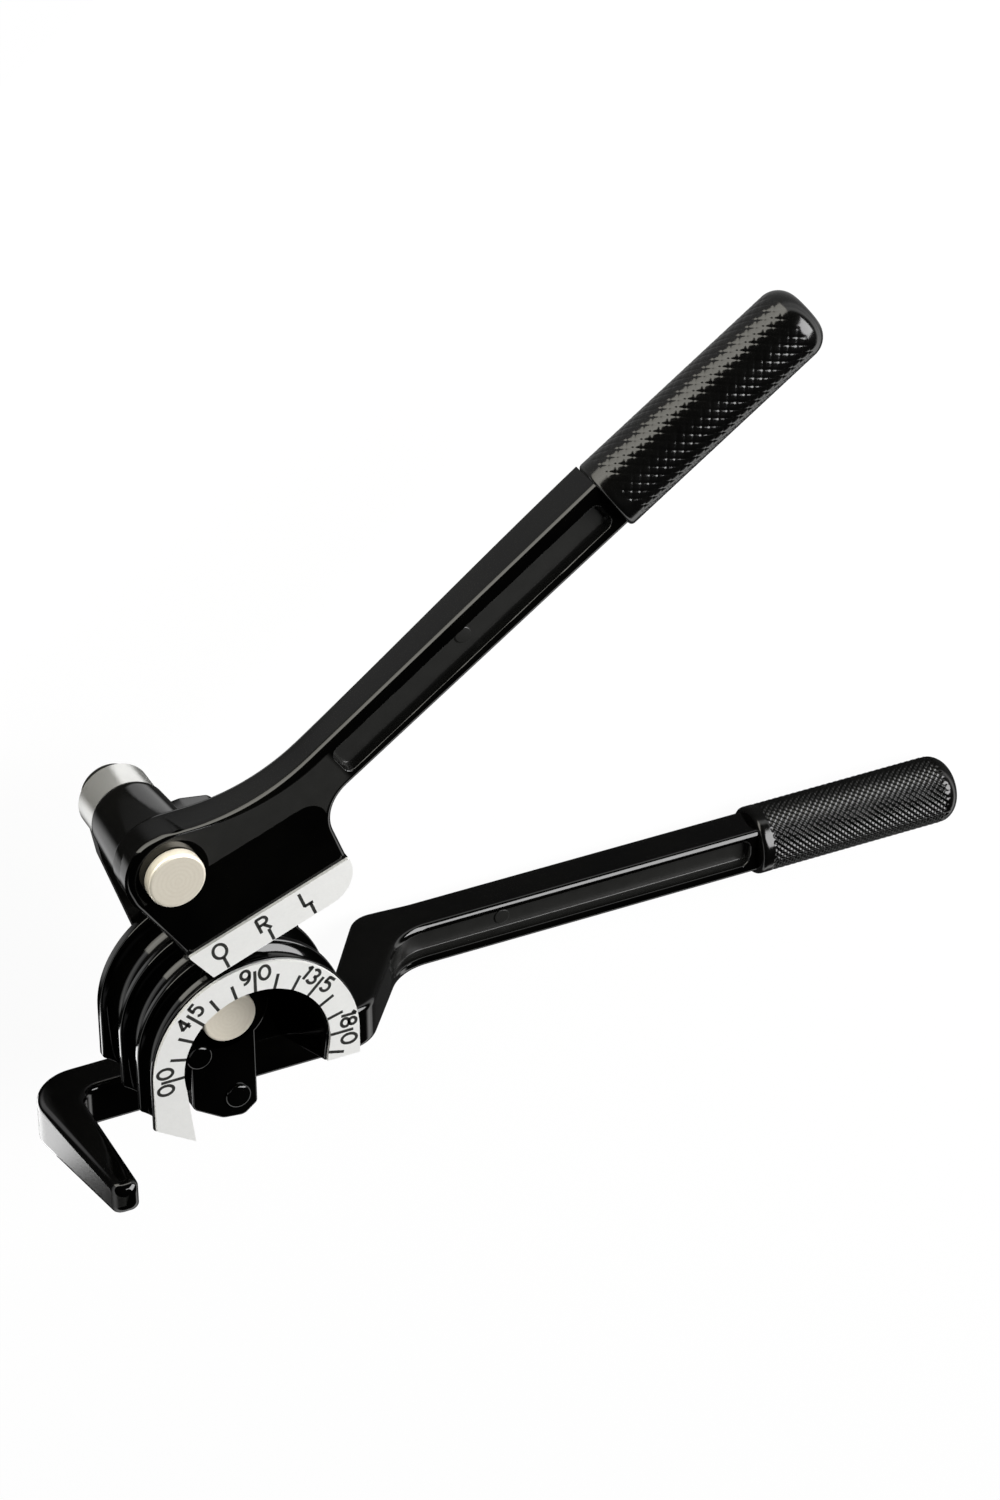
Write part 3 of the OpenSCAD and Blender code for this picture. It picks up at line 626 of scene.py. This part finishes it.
def knurled(length, count, pitch, depth, narrow, lead):
    """Loops of a grip along its own axis: bore, shoulder, knurled sleeve and dome. Two crossing threads
    cut grooves of depth (0.5 + 0.5 cos)^narrow, which are deepest where they cross. The second thread
    has the lead's share of the depth."""
    angle = turns(240)
    dome_start, bore_stop = length - dome_r, length - 7
    knurl_start, knurl_end = 2.6, length - 3.6
    x = np.concatenate([[0, 0.1, 0.3, 0.6, 1.0], np.arange(1.4, dome_start, 0.2),
                        dome_start + dome_r * np.sin(np.radians(np.linspace(0, 88, 16)))])[:, None]
    dome = np.clip((x - dome_start) / dome_r, 0, 1)
    plain_r = grip_r - dome_r * (1 - np.sqrt(1 - dome ** 2)) - round_end(x, shoulder_r)
    cut = smooth((x - knurl_start) / 1.0) * smooth((knurl_end - x) / 1.2)
    around_turns = count * angle / (2 * np.pi)
    along_turns = x / pitch
    first = (0.5 + 0.5 * np.cos(2 * np.pi * (around_turns + along_turns))) ** narrow
    second = (0.5 + 0.5 * np.cos(2 * np.pi * (around_turns - along_turns))) ** narrow
    cut_r = plain_r - depth * cut * ((1 - lead) * first + lead * second)
    all_x = np.vstack([[[bore_stop], [0.0]], x])
    all_r = np.vstack([np.full((2, len(angle)), bore_r), cut_r])
    return turned(all_r, angle, all_x)[..., [2, 0, 1]]


lower_sleeve = knurled(length=54.0, count=32, pitch=1.62, depth=0.5, narrow=1.5, lead=0.5)
piece("lower_grip_sleeve", [lower_sleeve + [arm_end, arm_mid, arm_z]],
      grip_black, "lower_arm_and_die", ["lower_grip"])
upper_sleeve = knurled(length=56.2, count=20, pitch=2.4, depth=0.14, narrow=6.0, lead=0.62)
sleeve_u, sleeve_n = on_arm(grip_s + upper_sleeve[..., 0], arm_d + upper_sleeve[..., 1])
piece("upper_grip_sleeve",
      [in_shoe(np.stack([sleeve_u, sleeve_n, plate_mid + upper_sleeve[..., 2]], axis=-1))],
      grip_black, "upper_arm_and_shoe", ["upper_grip"])


# Scales: the dial on the die and the index strip on the shoe, two bare aluminium faces that are ground
# flat. Their ticks, numbers and letters are cut in and filled with black.
def coat(node, material):
    """Puts a material on a node's object."""
    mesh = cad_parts[node].data
    mesh.materials.clear()
    mesh.materials.append(material)


def bare_metal(name, dark, light, roughness, grain_size, metallic, centre=None):
    """A bare metal: its colour and roughness follow a fine grain and broad clouds. Turned work has fine
    rings round its centre too, a sine of the distance from it."""
    radians_per_metre = 6500.0
    material, shader, place = finish(name, roughness, metallic)
    grain, cloud = place.noise(grain_size), place.noise(0.006, 3.0)
    height, tone = grain, 0.5 * grain + 0.5 * cloud
    if centre:
        away = (place.axis(0) - centre[0]).hypot(place.axis(1) - centre[1]) * radians_per_metre
        rings = away.math("SINE", away)
        height, tone = grain + 0.3 * rings, tone + 0.2 * cloud * rings
    feed(shader, Base_Color=tone.mix(dark, light),
         Roughness=roughness - 0.06 + 0.12 * grain, Normal=height.bump(grain_height))
    return material


satin = bare_metal("satin_aluminium", (0.8, 0.8, 0.78), (0.92, 0.92, 0.9),
                   roughness=0.45, grain_size=0.0006, metallic=0.2)
coat("degree_scale", satin)
coat("index_scale", satin)
ink, ink_shader, ink_place = finish("mark_black", 0.55)
feed(ink_shader, Base_Color=ink_place.noise(0.0008).mix((0.008, 0.008, 0.007), (0.02, 0.02, 0.018)))


def arc(cx, cy, rx, ry, start, end, count=17):
    """Points on part of an ellipse, from one angle to another in degrees: centre + (rx cos, ry sin)."""
    return [cx, cy] + spokes(np.radians(np.linspace(start, end, count))) * [rx, ry]


def path(*points):
    """Points of a line with corners: equal steps along each straight run."""
    return np.vstack([np.linspace(start, end, 9) for start, end in zip(points[:-1], points[1:])])


# The strokes of each sign, one unit high, from its lower left corner.
strokes = {
    "0": [arc(0.35, 0.5, 0.35, 0.5, 0, 360, 33)],
    "1": [path((0.08, 0.78), (0.3, 1), (0.3, 0))],
    "3": [np.vstack([arc(0.3, 0.76, 0.26, 0.24, 150, -90), arc(0.3, 0.26, 0.3, 0.26, 90, -150)])],
    "4": [path((0.46, 0), (0.46, 1), (0, 0.28), (0.66, 0.28))],
    "5": [np.vstack([path((0.56, 1), (0.1, 1), (0.06, 0.56)), arc(0.28, 0.32, 0.3, 0.32, 125, -145)])],
    "8": [arc(0.32, 0.76, 0.25, 0.24, 0, 360, 29), arc(0.32, 0.26, 0.31, 0.26, 0, 360, 29)],
    "9": [arc(0.32, 0.68, 0.29, 0.32, 0, 360, 29),
          np.vstack([path((0.61, 0.68), (0.6, 0.5)), arc(0.2, 0.5, 0.4, 0.5, 0, -90)])],
    "O": [arc(0.4, 0.5, 0.4, 0.5, 0, 360, 33)],
    "R": [path((0, 0), (0, 1), (0.34, 1)), arc(0.34, 0.75, 0.27, 0.25, 90, -90),
          path((0.34, 0.5), (0, 0.5)), path((0.3, 0.5), (0.66, 0))],
    "L": [path((0, 1), (0, 0), (0.55, 0))],
}


def ribbon(line, width, z):
    """A thin bar along a flat line: each point moves half the width to both sides, from under z to just
    over it."""
    sunk, proud = 0.05, 0.012
    tangent = unit(np.gradient(line, axis=0))
    aside = np.stack([-tangent[:, 1], tangent[:, 0]], axis=1) * width / 2
    flat = np.stack([line + aside, line - aside, line - aside, line + aside], axis=1)
    height = np.broadcast_to(z + np.array([-sunk, -sunk, proud, proud]), flat.shape[:2])
    return np.concatenate([flat, height[..., None]], axis=-1)


def letter(sign, size, base, rightward, upward):
    """Strokes of one sign, of the given height, from its lower left corner along two unit vectors."""
    return [np.array(base) + size * (stroke[:, :1] * rightward + stroke[:, 1:] * upward)
            for stroke in strokes[sign]]


def dial_ways(degree):
    """Unit vectors outwards and onwards at a reading of the dial, which runs from the left over the top."""
    turn = np.radians(180 - degree)
    return np.array([np.cos(turn), np.sin(turn)]), np.array([np.sin(turn), -np.cos(turn)])


dial_z, pen = 31.52, 0.72
tick_start, long_tick, short_tick = 0.35, 5.6, 4.0
marks = []
for step in range(14):
    out, _ = dial_ways(15 * step)
    reach = long_tick if step % 3 == 0 else short_tick
    marks.append(out * np.linspace(rim_in + tick_start, rim_in + reach, 4)[:, None])
# Each number stands on both sides of its tick: some digits before it and one after.
digit, digit_w, pace, number_r, gap_before, gap_after = 3.4, 0.68, 0.52, 2.9, 0.95, 1.0
numbers = [(0, "0", "0"), (45, "4", "5"), (90, "9", "0"), (135, "13", "5"), (180, "18", "0")]
for degree, before, after in numbers:
    out, onward = dial_ways(degree)
    before_start = -gap_before - digit * (digit_w + pace * (len(before) - 1))
    for text, start in ((before, before_start), (after, gap_after)):
        for place, sign in enumerate(text):
            base = out * (rim_in + number_r) + onward * (start + place * digit * pace)
            marks += letter(sign, digit, base, onward, out)
piece("degree_marks", [ribbon(line, pen, dial_z) for line in marks],
      ink, "lower_arm_and_die", [])

along_lip, off_lip = np.array([1.0, 0]), np.array([0, 1.0])
letter_h, letter_n, tick_n = 3.7, lip_n + 3.3, lip_n + 0.15
marks = []
for sign, u, offset, tick in (("O", 3.5, -1.6, 3.1), ("R", 14.5, -1.7, 3.2), ("L", 24.7, -1.4, 3.2)):
    marks.append(np.array([u, tick_n]) + np.linspace(0, tick, 3)[:, None] * off_lip)
    marks += letter(sign, letter_h, (u + offset, letter_n), along_lip, off_lip)
piece("index_marks", [in_shoe(ribbon(line, pen, dial_z)) for line in marks],
      ink, "upper_arm_and_shoe", [])


# Pivots: two turned and plated pins, a bright steel collar, washers and bronze bushes, all on one link of
# blackened steel plate. The pins' tails are riveted over behind it.
pin_dark, pin_light = (0.84, 0.77, 0.64), (0.95, 0.89, 0.76)
die_axis, handle_axis = (0.0, 0.0), (-0.01683, 0.05105)
coat("die_pin", bare_metal("plated_die_pin", pin_dark, pin_light,
                           roughness=0.4, grain_size=0.0005, metallic=0.15, centre=die_axis))
coat("handle_pin", bare_metal("plated_handle_pin", pin_dark, pin_light,
                              roughness=0.36, grain_size=0.0005, metallic=0.4, centre=handle_axis))
bright = bare_metal("bright_steel", (0.72, 0.72, 0.71), (0.86, 0.86, 0.85),
                    roughness=0.2, grain_size=0.0009, metallic=0.85)
bronze = bare_metal("bush_bronze", (0.5, 0.34, 0.16), (0.6, 0.42, 0.2),
                    roughness=0.35, grain_size=0.0005, metallic=1.0)
blackened = bare_metal("blackened_steel", (0.006, 0.006, 0.006), (0.014, 0.014, 0.013),
                       roughness=0.3, grain_size=0.0006, metallic=0.0)
for node in ("pivot_collar", "thrust_washer", "die_tail_washer", "handle_tail_washer", "head_washer"):
    coat(node, bright)
for node in ("die_bush", "barrel_bushes"):
    coat(node, bronze)
coat("link_plate", blackened)


# Studio: a white table with a pale sweep round it, one large soft lamp above, a low white card behind
# the upper arm, a small one flat beside the hook, and the camera where the photograph was taken.
floor_z = solid_box[0][2]
span = 6.0
floor_mesh = bpy.data.meshes.new("floor")
floor_mesh.from_pydata([(-span, -span, floor_z), (span, -span, floor_z), (span, span, floor_z),
                        (-span, span, floor_z)], [], [(0, 1, 2, 3)])
floor = bpy.data.objects.new("floor", floor_mesh)
bpy.context.scene.collection.objects.link(floor)
paper, paper_shader, paper_place = finish("paper", 0.9)
paper_links = paper.node_tree.links
rays = paper_place.node("ShaderNodeLightPath")
seen = Shade(paper.node_tree, rays.outputs["Is Camera Ray"])
glossy = Shade(paper.node_tree, rays.outputs["Is Glossy Ray"])
# Polished faces see the table painted dark, as painted shade for the tool's shadow on it, and glowing
# without a lamp, as painted reflections, far off, left of the die, behind the upper arm, and in one streak
# behind its neck.
floor_x, floor_y = paper_place.axis(0), paper_place.axis(1)
far = 0.9 * (floor_x - 0.04).hypot(floor_y - 0.03).ramp(0.2, 0.4)
left = 1.0 - (floor_x + 0.055).hypot(floor_y - 0.017).ramp(0.014, 0.034)
behind = 0.3 * floor_y.ramp(0.085, 0.115) * floor_x.ramp(-0.05, -0.02)
over_streak, along_streak = floor_x + floor_y - 0.086, floor_x - floor_y + 0.066
streak = 1.0 - (80.0 * over_streak).hypot(24.0 * along_streak).ramp(0.6, 1.3)
painted_glow = far.most(left).most(behind).most(streak)
feed(paper_shader, Base_Color=glossy.mix((0.9, 0.9, 0.9), (0.02, 0.02, 0.02)))
white = seen.node("ShaderNodeEmission", None, Color=(1, 1, 1, 1), Strength=1.0)
sheet = seen.node("ShaderNodeMixShader", None, _0=0.95 * seen + painted_glow * glossy)
paper_links.new(paper_shader.outputs[0], sheet.inputs[1])
paper_links.new(white.outputs[0], sheet.inputs[2])
paper_links.new(sheet.outputs[0], paper.node_tree.nodes["Material Output"].inputs[0])
floor_mesh.materials.append(paper)

world = bpy.data.worlds.new("studio")
bpy.context.scene.world = world
world.use_nodes = True
sky = world.node_tree
sky_way = Shade(sky, sky.nodes.new("ShaderNodeTexCoord").outputs["Generated"])
low_sky = 1.0 - sky_way.axis(2).ramp(0.1, 0.26)
feed(sky.nodes["Background"], Color=low_sky.mix((0.004, 0.004, 0.004), (1.0, 1.0, 0.98)))
sky.nodes["Background"].inputs["Strength"].default_value = 1.4


def lamp(name, place, target, size, power, tint=(1, 1, 1)):
    """A soft lamp: a rectangle at a place, turned to face a target, which the camera doesn't see."""
    data = bpy.data.lights.new(name, "AREA")
    data.shape = "RECTANGLE"
    data.size, data.size_y = size
    data.energy = power
    data.color = tint
    made = bpy.data.objects.new(name, data)
    made.location = place
    made.rotation_mode = "QUATERNION"
    made.rotation_quaternion = (Vector(target) - Vector(place)).to_track_quat("-Z", "Y")
    made.visible_camera = False
    bpy.context.scene.collection.objects.link(made)


lamp("top_box", (0.68, 0.39, 0.77), (0.04, 0.03, 0.0), size=(0.8, 0.8), power=19.5)
lamp("back_card", (-0.0184, 0.199, 0.0125), (0.0567, 0.093, 0.0125), size=(0.32, 0.095), power=0.31,
     tint=(1, 0.97, 0.86))
lamp("left_card", (-0.062, -0.052, -0.034), (-0.062, -0.052, 0.1), size=(0.044, 0.042), power=0.027)

camera_data = bpy.data.cameras.new("camera")
camera_data.lens = 112.22
camera_data.sensor_width = 36
camera_data.clip_end = 50
camera = bpy.data.objects.new("camera", camera_data)
bpy.context.scene.collection.objects.link(camera)
view = np.eye(4)
view[:3, 0] = (0.8996, -0.0031, 0.4368)
view[:3, 1] = (0.2414, 0.8370, -0.4911)
view[:3, 2] = (-0.3641, 0.5472, 0.7537)
view[:3, 3] = (-0.2963, 0.5910, 0.7623)
camera.matrix_world = Matrix(view.tolist())
bpy.context.scene.camera = camera
bpy.context.scene.view_settings.view_transform = "Standard"
